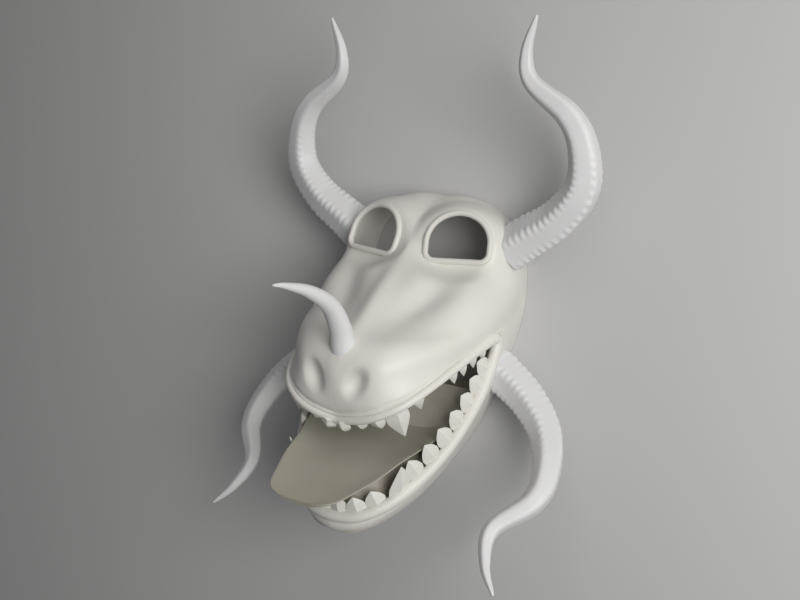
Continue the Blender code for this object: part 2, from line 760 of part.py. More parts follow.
def at_length(points, length):
    """The point and the direction at a length along a path."""
    for a, b in zip(points[:-1], points[1:]):
        step = (b - a).length
        if length <= step:
            return a.lerp(b, length / step), (b - a).normalized()
        length -= step
    return points[-1], (points[-1] - points[-2]).normalized()


def horn_piece(name, points, normal, count, section, material, parts, blanks):
    """A horn: rings of a section along its middle line, seated on the head."""
    whole = path_length(points)
    rings = []
    for i in range(count + 1):
        share = i / count
        middle, along = at_length(points, share * whole)
        out = along.cross(normal).normalized()
        rings.append([middle + out * x + normal * y for x, y in section(share)])
    horn = closed_loft(name, rings, parts)
    horn.data.materials.append(material)
    for blank in blanks:
        boolean(horn, blank, "DIFFERENCE")
    return horn


def side_horn_section(share, foot_radius):
    """Five soft corners with flats between them."""
    radius = foot_radius * (1 - share) ** HORN_TAPER + HORN_TIP_RADIUS
    points = []
    for k in range(HORN_SIDES):
        angle = 2 * math.pi * k / HORN_SIDES
        r = radius * (HORN_FLAT if k % 2 else HORN_CORNER)
        points.append((r * math.cos(angle), r * math.sin(angle)))
    return points


def horn_frame(up, lean, splay, twist):
    """Directions of the right horn of a pair: along it, and outward in the plane of its bend."""
    along = Vector(
        (math.sin(splay), up * math.cos(splay) * math.cos(lean), math.cos(splay) * math.sin(lean))
    )
    out = Vector(
        (math.cos(splay), -up * math.sin(splay) * math.cos(lean), -math.sin(splay) * math.sin(lean))
    )
    out.rotate(Quaternion(along, twist))
    return along, out


def side_horn(name, side, shape, material, parts, blanks):
    bend, foot, (along, out), foot_radius = shape
    flip = Vector((side, 1, 1))
    points = bend_points(bend, place(*foot) * flip, along * flip, out * flip, HORN_REACH)
    normal = (along * flip).cross(out * flip).normalized()

    def section(share):
        return side_horn_section(share, foot_radius)

    return horn_piece(name, points, normal, HORN_RINGS, section, material, parts, blanks)


def nose_horn_section(share):
    radius = NOSE_HORN_RADIUS * (1 - share) ** NOSE_HORN_TAPER + NOSE_HORN_TIP_RADIUS
    turns = [2 * math.pi * k / NOSE_HORN_SIDES for k in range(NOSE_HORN_SIDES)]
    return [(radius * math.cos(w), radius * math.sin(w)) for w in turns]


def nose_horn(material, parts, blank):
    up, forward = Vector((0, 1, 0)), Vector((0, 0, 1))
    points = bend_points(NOSE_HORN_BEND, place(*NOSE_HORN_FOOT), up, forward, NOSE_HORN_REACH)
    return horn_piece(
        "nose_horn", points, Vector((1, 0, 0)), NOSE_HORN_RINGS, nose_horn_section, material, parts, [blank]
    )


def head_blank(collection):
    """The head as a closed body, a seat's gap larger: what a horn may not reach into."""
    return hide(closed_loft("head_blank", outer_rings(SEAT_GAP), collection))


def main():
    for piece in list(bpy.data.objects):
        bpy.data.objects.remove(piece)
    parts = bpy.data.collections.new("vejigante_mask")
    cutters = bpy.data.collections.new("cutters")
    for collection in (parts, cutters):
        bpy.context.scene.collection.children.link(collection)
    face_white = plastic("face_white", (0.8, 0.78, 0.73), 0.45)
    horn_white = plastic("horn_white", (0.82, 0.82, 0.81), 0.4)

    mask_shell(parts, cutters, face_white)
    blank = head_blank(cutters)
    upper_frame = horn_frame(1, UPPER_HORN_LEAN, 0.0, 0.0)
    lower_frame = horn_frame(-1, LOWER_HORN_LEAN, LOWER_HORN_SPLAY, LOWER_HORN_TWIST)
    upper = (UPPER_HORN_BEND, UPPER_HORN_FOOT, upper_frame, UPPER_HORN_RADIUS)
    lower = (LOWER_HORN_BEND, LOWER_HORN_FOOT, lower_frame, LOWER_HORN_RADIUS)
    for word, side in (("right", 1), ("left", -1)):
        rim_blank = eye_rim("rim_blank_" + word, side, SEAT_GAP, cutters)
        side_horn("upper_horn_" + word, side, upper, horn_white, parts, [blank, rim_blank])
        side_horn("lower_horn_" + word, side, lower, horn_white, parts, [blank])
    nose_horn(horn_white, parts, blank)

    stand = bpy.data.objects.new("mask", None)
    parts.objects.link(stand)
    reach = [v.co.y for piece in parts.objects if piece.type == "MESH" for v in piece.data.vertices]
    stand.location.y = -(min(reach) + max(reach)) / 2
    for piece in list(parts.objects) + list(cutters.objects):
        if piece is not stand:
            piece.parent = stand


main()
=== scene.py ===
"""A vejigante mask: a horned beast's head with open jaws, printed in white plastic, lying on its rear rim."""

import math

import bmesh
import bpy
from mathutils import Matrix, Quaternion, Vector


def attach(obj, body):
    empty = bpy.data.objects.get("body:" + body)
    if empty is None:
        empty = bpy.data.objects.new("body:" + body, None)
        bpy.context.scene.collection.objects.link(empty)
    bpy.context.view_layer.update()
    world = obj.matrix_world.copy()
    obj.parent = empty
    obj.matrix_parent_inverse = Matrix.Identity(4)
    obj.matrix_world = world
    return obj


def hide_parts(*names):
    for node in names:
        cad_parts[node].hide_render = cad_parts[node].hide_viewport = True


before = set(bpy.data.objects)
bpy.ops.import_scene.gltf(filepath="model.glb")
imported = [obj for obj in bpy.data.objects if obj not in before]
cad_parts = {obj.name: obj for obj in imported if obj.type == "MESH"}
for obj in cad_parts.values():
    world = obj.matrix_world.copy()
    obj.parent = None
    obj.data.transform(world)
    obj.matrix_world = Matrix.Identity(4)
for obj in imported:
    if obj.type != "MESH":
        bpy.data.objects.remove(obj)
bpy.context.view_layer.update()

# The head
# One hollow print from the lips to the rear rim, 3 mm thick and open behind. It is carved with a bridge,
# long hollows under the eyes and two slanted nostrils, and its eye holes go right through the wall.
MM = 0.001
HEAD_WIDTH = 172 * MM
HEAD_HEIGHT = 197 * MM
HEAD_DEPTH = 158 * MM
WALL = 3.2 * MM
REAR_TRIM = 5 * MM          # how far the skin runs past the rear rim before it is cut off flat
REAR_EDGE_BELOW = 20 * MM   # an open edge this near the rear rim is the rear one, not the mouth's
LIE = -0.115537             # where the middle of the upper lip lies along Y, from the middle of the whole

# The middle lines, by the share of the way from the lip to the rear rim: up and forward, as shares of the
# head's height and depth
CROWN_LINE = (
    (0.0, 0.0, 1.0),
    (0.035, 0.06, 1.044),
    (0.08, 0.152, 1.07),
    (0.125, 0.244, 1.082),
    (0.175, 0.325, 1.03),
    (0.24, 0.401, 0.905),
    (0.33, 0.513, 0.766),
    (0.44, 0.645, 0.601),
    (0.56, 0.787, 0.455),
    (0.68, 0.912, 0.33),
    (0.78, 0.99, 0.22),
    (0.86, 1.014, 0.139),
    (1.0, 1.015, 0.0),
)
KEEL_LINE = (
    (0.0, -0.411, 0.962),
    (0.1, -0.475, 0.94),
    (0.22, -0.505, 0.84),
    (0.42, -0.5, 0.62),
    (0.7, -0.45, 0.32),
    (1.0, -0.386, 0.0),
)

# The lips, by the share of the way from the middle to the corner: across, up and forward, as shares of half
# the head's width, its height and its depth
UPPER_LIP = (
    (0.0, 0.0, 0.0, 1.0),
    (0.2, 0.28, 0.025, 1.019),
    (0.4, 0.5, 0.066, 1.01),
    (0.6, 0.698, 0.132, 0.937),
    (0.8, 0.86, 0.249, 0.72),
    (1.0, 1.0, 0.426, 0.304),
)
LOWER_LIP = (
    (0.0, 0.0, -0.411, 0.962),
    (0.2, 0.314, -0.386, 0.93),
    (0.4, 0.616, -0.279, 0.81),
    (0.6, 0.849, -0.086, 0.608),
    (0.8, 0.977, 0.162, 0.418),
    (1.0, 1.0, 0.426, 0.304),
)
CORNER_UP = 0.426
CORNER_FORWARD = 0.304
TEMPLE_UP = 0.58
TEMPLE_ACROSS = 0.985
UPPER_SQUARENESS = ((0.0, 2.2), (0.1, 2.15), (0.25, 2.3), (0.45, 2.6), (0.65, 2.65), (0.8, 2.5), (1.0, 2.4))
JAW_RIM_SQUARENESS = 1.65
JAW_FULLNESS = 0.03
SIDE_FULLNESS = ((0.0, 0.0), (0.2, 0.02), (0.5, 0.06), (0.8, 0.04), (1.0, 0.0))
LIP_FADE = 0.4
JAW_EASED_BELOW = -12 * MM  # the jaw's skin is eased this far down from the upper lip, to round its keel
JAW_EASING_PASSES = 14
HEAD_GRID = (264, 84)
UPPER_SHARE = 0.62          # how much of the sheet's length round the mouth is the upper head
COLUMN_PACE = (0.8, 0.2)    # the upper head's columns widen from the middle to the sides by these shares
ROW_CROWDING = 1.6          # rows lie closer together near the mouth
WELD = 0.002 * MM
EYE_WIDTH = 52 * MM
EYE_HEIGHT = 38 * MM
EYE_CORNER = 6 * MM
EYE_STRAIGHT = 0.36         # the share of an eye's height that its straight sides go up to
EYE_MIDDLE, EYE_REACH = 0.45, 0.55      # an eye's middle above its foot and its reach from there
EYE_FLAT_TO, EYE_FADES_BY = 1.15, 2.1   # the face is flat round an eye to the first, in half sizes
EYE_HOLE_MARGIN = 0.7       # how far the hole is cut past the opening's line, in radii of the rim
EYE_PLUG_REAR = -20 * MM
EYE_PLUG_LENGTH = 40 * MM
EYE_PLUG_STEPS = 8
EYE_RIM_RADIUS = 2.8 * MM


def spline(stations, t):
    """The values at t on a smooth curve through stations of (t, value, ...)."""
    last = len(stations) - 1
    t = min(max(t, stations[0][0]), stations[last][0])
    i = max(k for k in range(last) if stations[k][0] <= t)
    (t0, *p0), (t1, *p1) = stations[i], stations[i + 1]

    def slope(k, j):
        before, after = stations[max(k - 1, 0)], stations[min(k + 1, last)]
        return (after[j] - before[j]) / (after[0] - before[0])

    span = t1 - t0
    u = (t - t0) / span
    values = []
    for j in range(1, len(stations[0])):
        m0, m1 = slope(i, j) * span, slope(i + 1, j) * span
        a, b = p0[j - 1], p1[j - 1]
        values.append(
            (2 * u**3 - 3 * u**2 + 1) * a
            + (u**3 - 2 * u**2 + u) * m0
            + (3 * u**2 - 2 * u**3) * b
            + (u**3 - u**2) * m1
        )
    return values if len(values) > 1 else values[0]


def smooth_step(low, high, value):
    t = min(max((value - low) / (high - low), 0.0), 1.0)
    return t * t * (3 - 2 * t)


def hump(distance):
    """A round hump: 1 at distance 0, fading to nothing by about 2."""
    return math.exp(-distance * distance)


def place(across, up, forward):
    """A point of the head from its shares of width, height and depth."""
    return Vector((across * HEAD_WIDTH / 2, up * HEAD_HEIGHT, forward * HEAD_DEPTH))


EYE_FOOT = place(0.512, 0.719, 0.428)
EYE_ACROSS = Vector((0.97, 0.072, -0.225)).normalized()
EYE_UP = Vector((-0.11, 0.965, -0.17)).normalized()
EYE_OUT = EYE_ACROSS.cross(EYE_UP).normalized()


def turn(a, power):
    """How far across and how high a squared arch is at share a from its middle."""
    angle = a * math.pi / 2
    across, rise = math.sin(angle), math.cos(angle)
    size = (abs(across) ** power + abs(rise) ** power) ** (1 / power)
    return across / size, rise / size


def arch(a, row):
    """A point of the arch over the upper head at share a from its middle to its side."""
    middle_up, middle_forward = spline(CROWN_LINE, row)
    side_across = 1 + (TEMPLE_ACROSS - 1) * row
    side_up = CORNER_UP + (TEMPLE_UP - CORNER_UP) * row
    side_forward = CORNER_FORWARD * (1 - row)
    across, rise = turn(a, spline(UPPER_SQUARENESS, row))
    full = side_across + spline(SIDE_FULLNESS, row) * math.sin(math.pi * rise)
    up = side_up + (middle_up - side_up) * rise
    forward = side_forward + (middle_forward - side_forward) * rise
    return place(across * full, up, forward)


def lip_point(a, lip):
    across, up, forward = spline(lip, abs(a))
    return place(math.copysign(across, a), up, forward)


def upper_point(a, row):
    """The upper head: arches that follow the lip's own line near the mouth."""
    fade = max(0.0, 1 - row / LIP_FADE) ** 2
    return arch(a, row) + (lip_point(a, UPPER_LIP) - arch(a, 0.0)) * fade


def jaw_point(a, row):
    """The jaw: lines from the lip to the rear rim, bulging as the keel does."""
    (up_0, forward_0), (up, forward), (up_1, forward_1) = (spline(KEEL_LINE, t) for t in (0.0, row, 1.0))
    across, rise = turn(a, JAW_RIM_SQUARENESS)
    rim = place(across * TEMPLE_ACROSS, TEMPLE_UP + (up_1 - TEMPLE_UP) * rise, 0.0)
    bulge = place(0.0, up - up_0 - (up_1 - up_0) * row, forward - forward_0 - (forward_1 - forward_0) * row)
    point = lip_point(a, LOWER_LIP).lerp(rim, row) + bulge * rise
    point.x *= 1 + JAW_FULLNESS * math.sin(math.pi * row) * rise
    return point


def round_mouth(u):
    """The side of the mouth and the share of its lip at a place round it: the upper lip first."""
    if u < UPPER_SHARE:
        column = 1 - 2 * u / UPPER_SHARE
        return upper_point, UPPER_LIP, column * (COLUMN_PACE[0] + COLUMN_PACE[1] * column * column)
    return jaw_point, LOWER_LIP, -1 + 2 * (u - UPPER_SHARE) / (1 - UPPER_SHARE)


def head_point(u, v):
    surface, _, a = round_mouth(u)
    return surface(a, v**ROW_CROWDING)


def eye_share(point):
    """How near a point is to an eye opening, as a share of the eye's half sizes."""
    seen = Vector((abs(point.x), point.y, point.z)) - EYE_FOOT
    across = seen.dot(EYE_ACROSS) / (EYE_WIDTH / 2)
    up = (seen.dot(EYE_UP) - EYE_HEIGHT * EYE_MIDDLE) / (EYE_HEIGHT * EYE_REACH)
    return math.hypot(across, up)


# The carving: each form's name, how far it stands out, its middle across and up, its slant in degrees, and
# its half length and half width. Up is a share of the head's height, and the others are of the head's width.
CARVING = (
    ("bridge", 0.02, 0.0, 0.525, 90, 0.24, 0.055),
    ("hollow under the eye", -0.044, 0.227, 0.533, 52, 0.175, 0.092),
    ("cheekbone", 0.027, 0.385, 0.575, 110, 0.16, 0.085),
    ("flank of the muzzle", -0.012, 0.36, 0.262, 90, 0.12, 0.09),
    ("bulb of the nose", 0.012, 0.0, 0.175, 90, 0.1, 0.05),
    ("wing of the nostril", 0.005, 0.21, 0.205, 75, 0.1, 0.05),
    ("brow", 0.006, 0.2, 0.987, 0, 0.11, 0.07),
    ("dip of the crown", -0.012, 0.0, 0.995, 90, 0.11, 0.08),
)
CARVED_FROM, CARVED_FULLY = -0.03, 0.08     # the carving fades out towards the lip between these heights
CARVING_REACH = 3           # a form is left out past this many of its half sizes

# The nostrils are hollows with a firmer edge, in the carving's shares
NOSTRIL_DEPTH = 0.036
NOSTRIL_PLACE = (0.116, 0.178)
NOSTRIL_SLANT = 62
NOSTRIL_SIZE = (0.105, 0.07)
NOSTRIL_WALL = (0.1, 1.0)   # where the hollow's wall starts and ends, in half sizes

# The fine lines along the upper lip: height, distance from the lip's edge and half width, in mm
LIP_RIDGE = (0.9, 5.2, 1.1)
LIP_GROOVE = (-0.9, 7.6, 1.4)


def slanted(point, middle, slant, size):
    """How far a point is from the middle of a slanted oval, as a share of its half sizes."""
    dx = abs(point.x) / HEAD_WIDTH - middle[0]
    dy = (point.y - middle[1] * HEAD_HEIGHT) / HEAD_WIDTH
    along_x, along_y = math.cos(math.radians(slant)), math.sin(math.radians(slant))
    return math.hypot((dx * along_x + dy * along_y) / size[0], (dx * along_y - dy * along_x) / size[1])


def carving(point):
    """How far the carving moves the face outward."""
    depth = 0.0
    for _, out, across, up, slant, long, wide in CARVING:
        share = slanted(point, (across, up), slant, (long, wide))
        if share < CARVING_REACH:
            depth += out * hump(share)
    share = slanted(point, NOSTRIL_PLACE, NOSTRIL_SLANT, NOSTRIL_SIZE)
    depth -= NOSTRIL_DEPTH * (1 - smooth_step(*NOSTRIL_WALL, share))
    return depth * HEAD_WIDTH * smooth_step(CARVED_FROM, CARVED_FULLY, point.y / HEAD_HEIGHT)


def lip_relief(away):
    """The fine ridge and groove that run along the upper lip, by the distance from its edge."""
    lines = (LIP_RIDGE, LIP_GROOVE)
    return sum(high * hump((away / MM - middle) / half) for high, middle, half in lines) * MM


def skin(across, along, point):
    """A fine grid moved onto a surface, closed where its edges meet."""
    bm = bmesh.new()
    bmesh.ops.create_grid(bm, x_segments=across, y_segments=along, size=0.5)
    round_layer = bm.verts.layers.float.new("round")
    for vertex in bm.verts:
        u, v = vertex.co.x + 0.5, vertex.co.y + 0.5
        vertex[round_layer] = u
        vertex.co = point(u, v)
    bmesh.ops.remove_doubles(bm, verts=bm.verts, dist=WELD)
    bmesh.ops.dissolve_degenerate(bm, edges=bm.edges, dist=WELD)
    bmesh.ops.recalc_face_normals(bm, faces=bm.faces)
    return bm


def piece_from(bm, name):
    mesh = bpy.data.meshes.new(name)
    bm.to_mesh(mesh)
    bm.free()
    piece = bpy.data.objects.new(name, mesh)
    bpy.context.scene.collection.objects.link(piece)
    return piece


def settle(piece):
    """Work the piece's modifiers into its mesh."""
    bpy.context.view_layer.update()
    seen = piece.evaluated_get(bpy.context.evaluated_depsgraph_get())
    mesh = bpy.data.meshes.new_from_object(seen)
    piece.modifiers.clear()
    piece.data = mesh


def cut(piece, tool):
    """Take what the tool fills out of the piece; the tool is used up."""
    step = piece.modifiers.new("cut", "BOOLEAN")
    step.operation = "DIFFERENCE"
    step.solver = "EXACT"
    step.object = tool
    settle(piece)
    bpy.data.objects.remove(tool)


def lay(bm):
    """Move a piece from the head's own lines, which start at the upper lip, to its place in the frame."""
    bmesh.ops.translate(bm, vec=(0, LIE, 0), verts=bm.verts)


def head_sheet(across, along):
    """The carved outer face of the head."""
    bm = skin(across, along, head_point)
    bm.normal_update()
    round_layer = bm.verts.layers.float["round"]
    moved = []
    for vertex in bm.verts:
        surface, lip, a = round_mouth(vertex[round_layer])
        point = vertex.co + vertex.normal * carving(vertex.co)
        if surface is upper_point:
            point += vertex.normal * lip_relief((vertex.co - lip_point(a, lip)).length)
        near = 1 - smooth_step(EYE_FLAT_TO, EYE_FADES_BY, eye_share(point))
        out = Vector((math.copysign(EYE_OUT.x, point.x), EYE_OUT.y, EYE_OUT.z))
        foot = Vector((math.copysign(EYE_FOOT.x, point.x), EYE_FOOT.y, EYE_FOOT.z))
        moved.append(point - out * (point - foot).dot(out) * near)
    for vertex, point in zip(bm.verts, moved):
        vertex.co = point
    bm.normal_update()
    return bm


def eye_outline(margin, steps):
    """Points round an eye opening: flat below, round above, moved outward by margin."""
    half = EYE_WIDTH / 2 + margin
    corner = EYE_CORNER + margin
    side = EYE_HEIGHT * EYE_STRAIGHT
    points = []
    for i in range(steps):
        angle = -math.pi / 2 + i * math.pi / 2 / steps
        points.append((half - corner + corner * math.cos(angle), corner * (1 + math.sin(angle)) - margin))
    for i in range(4 * steps + 1):
        angle = i * math.pi / (4 * steps)
        points.append((half * math.cos(angle), side + (EYE_HEIGHT + margin - side) * math.sin(angle)))
    points += [(-x, y) for x, y in reversed(points[:steps])]
    return points


def eye_place(side, across, up, out):
    """A point measured from the foot of one eye, in its own directions."""
    point = EYE_FOOT + EYE_ACROSS * across + EYE_UP * up + EYE_OUT * out
    return Vector((side * point.x, point.y, point.z))


def eye_plug(side):
    """The space of an eye opening, right through the wall."""
    bm = bmesh.new()
    outline = eye_outline(EYE_RIM_RADIUS * EYE_HOLE_MARGIN, EYE_PLUG_STEPS)
    face = bm.faces.new([bm.verts.new(eye_place(side, x, y, EYE_PLUG_REAR)) for x, y in outline])
    out = eye_place(side, 0, 0, EYE_PLUG_LENGTH) - eye_place(side, 0, 0, 0)
    pulled = bmesh.ops.extrude_face_region(bm, geom=[face])["geom"]
    bmesh.ops.translate(bm, vec=out, verts=[v for v in pulled if isinstance(v, bmesh.types.BMVert)])
    bmesh.ops.recalc_face_normals(bm, faces=bm.faces)
    lay(bm)
    return piece_from(bm, "eye_plug")


def run_past_rim(bm):
    """Take the sheet's rear edge down past the rear rim."""
    for vertex in bm.verts:
        if vertex.is_boundary and vertex.co.z < REAR_EDGE_BELOW:
            vertex.co.z = -REAR_TRIM


bm = head_sheet(*HEAD_GRID)
jaw_skin = [v for v in bm.verts if v.co.y < JAW_EASED_BELOW and not v.is_boundary]
for _ in range(JAW_EASING_PASSES):
    bmesh.ops.smooth_vert(bm, verts=jaw_skin, factor=0.5, use_axis_x=True, use_axis_y=True, use_axis_z=True)
run_past_rim(bm)
lay(bm)
head = piece_from(bm, "head")
wall = head.modifiers.new("wall", "SOLIDIFY")
wall.thickness = WALL
wall.offset = -1
wall.use_even_offset = True
settle(head)
bm = bmesh.new()
bm.from_mesh(head.data)
bmesh.ops.bisect_plane(
    bm, geom=bm.verts[:] + bm.edges[:] + bm.faces[:], plane_co=(0, 0, 0), plane_no=(0, 0, 1), clear_inner=True
)
bmesh.ops.bridge_loops(bm, edges=[edge for edge in bm.edges if edge.is_boundary])
bmesh.ops.recalc_face_normals(bm, faces=bm.faces)
bm.to_mesh(head.data)
bm.free()
for side in (1, -1):
    cut(head, eye_plug(side))


LAYER_HEIGHT = 0.0004


def printed_layers():
    """Node group: the faint lines of the print's layers and the slight unevenness of its skin."""
    group = bpy.data.node_groups.new("printed_layers", "ShaderNodeTree")
    layer = group.interface.new_socket("Layer", in_out="INPUT", socket_type="NodeSocketFloat")
    layer.default_value = LAYER_HEIGHT
    group.interface.new_socket("Height", in_out="OUTPUT", socket_type="NodeSocketFloat")
    group.interface.new_socket("Cloud", in_out="OUTPUT", socket_type="NodeSocketFloat")
    nodes, links = group.nodes, group.links
    given, out = nodes.new("NodeGroupInput"), nodes.new("NodeGroupOutput")
    where = nodes.new("ShaderNodeTexCoord")
    split = nodes.new("ShaderNodeSeparateXYZ")
    links.new(where.outputs["Object"], split.inputs[0])
    share = nodes.new("ShaderNodeMath")
    share.operation = "DIVIDE"
    links.new(split.outputs["Z"], share.inputs[0])
    links.new(given.outputs["Layer"], share.inputs[1])
    swing = nodes.new("ShaderNodeMath")
    swing.operation = "MULTIPLY"
    swing.inputs[1].default_value = 2 * math.pi
    links.new(share.outputs[0], swing.inputs[0])
    wave = nodes.new("ShaderNodeMath")
    wave.operation = "SINE"
    links.new(swing.outputs[0], wave.inputs[0])
    grain = nodes.new("ShaderNodeTexNoise")
    grain.inputs["Scale"].default_value = 420
    grain.inputs["Detail"].default_value = 3
    links.new(where.outputs["Object"], grain.inputs["Vector"])
    mixed = nodes.new("ShaderNodeMath")
    mixed.operation = "MULTIPLY_ADD"
    mixed.inputs[1].default_value = 0.12
    links.new(wave.outputs[0], mixed.inputs[0])
    links.new(grain.outputs["Fac"], mixed.inputs[2])
    links.new(mixed.outputs[0], out.inputs["Height"])
    cloud = nodes.new("ShaderNodeTexNoise")
    cloud.inputs["Scale"].default_value = 22
    cloud.inputs["Detail"].default_value = 2
    links.new(where.outputs["Object"], cloud.inputs["Vector"])
    links.new(cloud.outputs["Fac"], out.inputs["Cloud"])
    return group


LAYERS = printed_layers()


def print_plastic(name, light, dark, gloss):
    """White printed plastic: a little uneven in colour, with faint layers."""
    material = bpy.data.materials.new(name)
    material.use_nodes = True
    nodes, links = material.node_tree.nodes, material.node_tree.links
    shader = nodes["Principled BSDF"]
    shader.inputs["Subsurface Weight"].default_value = 0.12
    shader.inputs["Subsurface Radius"].default_value = (0.004, 0.003, 0.002)
    shader.inputs["Subsurface Scale"].default_value = 0.6
    layers = nodes.new("ShaderNodeGroup")
    layers.node_tree = LAYERS
    shades = nodes.new("ShaderNodeValToRGB")
    shades.color_ramp.elements[0].position = 0.3
    shades.color_ramp.elements[0].color = (*dark, 1)
    shades.color_ramp.elements[1].position = 0.7
    shades.color_ramp.elements[1].color = (*light, 1)
    links.new(layers.outputs["Cloud"], shades.inputs[0])
    links.new(shades.outputs["Color"], shader.inputs["Base Color"])
    dull = nodes.new("ShaderNodeMapRange")
    dull.inputs["To Min"].default_value = gloss - 0.05
    dull.inputs["To Max"].default_value = gloss + 0.07
    links.new(layers.outputs["Cloud"], dull.inputs["Value"])
    links.new(dull.outputs[0], shader.inputs["Roughness"])
    bump = nodes.new("ShaderNodeBump")
    bump.inputs["Strength"].default_value = 0.25
    bump.inputs["Distance"].default_value = 0.0002
    links.new(layers.outputs["Height"], bump.inputs["Height"])
    links.new(bump.outputs["Normal"], shader.inputs["Normal"])
    return material


face_print = print_plastic("face_print", (0.83, 0.81, 0.76), (0.79, 0.77, 0.715), 0.42)


def dress(piece, material, node, sharp=50):
    """Give a piece its smooth shading, sharp past an angle, its material and its place in the frame."""
    piece.data.shade_smooth()
    piece.data.set_sharp_from_angle(angle=math.radians(sharp))
    piece.data.materials.clear()
    piece.data.materials.append(material)
    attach(piece, "root")
    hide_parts(node)


dress(head, face_print, "mask_shell")

# The lips
# The rolled edge of the mouth, printed with the head: thin over the upper teeth and thick round the jaw. It is
# rounded where the two lips meet, at the corners of the mouth.
UPPER_LIP_RADIUS = 3.4 * MM
LOWER_LIP_RADIUS = 5.0 * MM
CORNER_RADIUS = 5.4 * MM
CORNER_FROM = 0.82          # the roll thickens from this share of the way to the corner
ROUNDING = [step * 0.005 for step in range(-2, 3)]      # places round the mouth whose mean rounds the corner
ROLL_STEP = 0.004
ROLL_SIDE = Vector((0, -0.6, 0.8))      # a direction that the mouth's line never takes
ROLL_GRID = (320, 20)


def lip_path(u):
    """The middle of the roll and its radius: rounded and thickened at the corners of the mouth."""
    _, lip, a = round_mouth(u % 1.0)
    radius = UPPER_LIP_RADIUS if lip is UPPER_LIP else LOWER_LIP_RADIUS
    radius += (CORNER_RADIUS - radius) * smooth_step(CORNER_FROM, 1.0, abs(a))
    near = [round_mouth((u + step) % 1.0)[1:] for step in ROUNDING]
    middle = sum((lip_point(share, edge) for edge, share in near), Vector()) / len(near)
    return middle, radius


def lip_skin(u, v):
    point, radius = lip_path(u)
    along = (lip_path(u + ROLL_STEP)[0] - lip_path(u - ROLL_STEP)[0]).normalized()
    first = along.cross(ROLL_SIDE).normalized()
    second = along.cross(first)
    angle = 2 * math.pi * v
    return point + (first * math.cos(angle) + second * math.sin(angle)) * radius


bm = skin(*ROLL_GRID, lip_skin)
lay(bm)
dress(piece_from(bm, "lips"), face_print, "mask_shell")

# The eye rims
# A proud bead round each eye hole, straight below and arched above. It is printed with the head, in the same
# white plastic.
EYE_RIM_WIDE = 0.95         # half the bead's width, in its radii
EYE_RIM_PROUD = 0.2         # how far its middle stands out of the face, in its radii
EYE_RIM_STEPS = 10
EYE_RIM_AROUND = 16


def eye_rim(side):
    outline = eye_outline(EYE_RIM_RADIUS * EYE_RIM_WIDE, EYE_RIM_STEPS)
    count = len(outline)

    def point(u, v):
        i = round(u * count) % count
        x, y = outline[i]
        (x0, y0), (x1, y1) = outline[i - 1], outline[(i + 1) % count]
        length = math.hypot(x1 - x0, y1 - y0)
        outward = ((y1 - y0) / length, (x0 - x1) / length)
        angle = 2 * math.pi * v
        wide = EYE_RIM_RADIUS * EYE_RIM_WIDE * math.cos(angle)
        high = EYE_RIM_RADIUS * (EYE_RIM_PROUD + math.sin(angle))
        return eye_place(side, x + outward[0] * wide, y + outward[1] * wide, high)

    bm = skin(count, EYE_RIM_AROUND, point)
    lay(bm)
    return bm


for word, side in (("right", 1), ("left", -1)):
    dress(piece_from(eye_rim(side), "eye_rim_" + word), face_print, "mask_shell")

# The tongue and the floor of the mouth
# A dished tongue stands out over the lower lip, held by the floor of the mouth and the head's rear walls. Its
# root stands on the floor and ends a little under it. All are printed with the head. Their darker, yellower
# colours are painted shade, for the shade that falls inside the mouth.
mouth_print_painted_shade = print_plastic("mouth_print_painted_shade", (0.52, 0.49, 0.41), (0.46, 0.43, 0.35), 0.5)
mouth_floor_print_painted_shade = print_plastic("mouth_floor_print_painted_shade", (0.52, 0.48, 0.42), (0.43, 0.39, 0.33), 0.5)
TONGUE_REAR = (0.165, 0.04)
TONGUE_TIP = (-0.292, 1.285)
TONGUE_WIDTHS = (
    (0.0, 0.86),
    (0.26, 0.83),
    (0.41, 0.775),
    (0.54, 0.7),
    (0.655, 0.615),
    (0.77, 0.555),
    (0.88, 0.46),
    (0.95, 0.39),
    (0.985, 0.31),
    (1.0, 0.22),
)
TONGUE_THICKNESS = 7 * MM
TONGUE_THINNING = 0.45      # the share of its thickness that it loses by its tip
TONGUE_DISH = 9 * MM
TONGUE_DISH_LOSS = 0.7      # the share of its dish that it loses by its tip
TONGUE_DISH_POWER = 3.6     # the dish's bottom is flat and its sides are steep
TONGUE_SQUARENESS = 0.55    # below 1, so that its edges are blunt
TONGUE_CROWDING = 1.5       # its sections lie closer together near its tip
TONGUE_END = 0.03
TONGUE_GRID = (72, 90)
ROOT_FRONT, ROOT_LENGTH = 0.14, 0.42    # shares of the way along the lip
ROOT_WIDTH = 0.7            # its share of the floor's width
ROOT_BELOW = 0.5            # its top lies below the dish, and its foot below the floor's top, in thicknesses
ROOT_END = 0.06
ROOT_GRID = (32, 24)
FLOOR_ROW = 0.13
FLOOR_FRONT, FLOOR_REAR = 0.1, 0.8      # shares of the way along the lip
FLOOR_STEP = 0.02
FLOOR_THICKNESS = 3 * MM
FLOOR_GRID = (8, 24)


def tongue_edge(t):
    """The tongue's edge at +X, at share t from its rear to its tip."""
    up = TONGUE_REAR[0] + (TONGUE_TIP[0] - TONGUE_REAR[0]) * t
    forward = TONGUE_REAR[1] + (TONGUE_TIP[1] - TONGUE_REAR[1]) * t
    return place(spline(TONGUE_WIDTHS, t), up, forward)


TONGUE_FALL = place(0, TONGUE_TIP[0] - TONGUE_REAR[0], TONGUE_TIP[1] - TONGUE_REAR[1]).normalized()
TONGUE_OVER = Vector((0, TONGUE_FALL.z, -TONGUE_FALL.y))


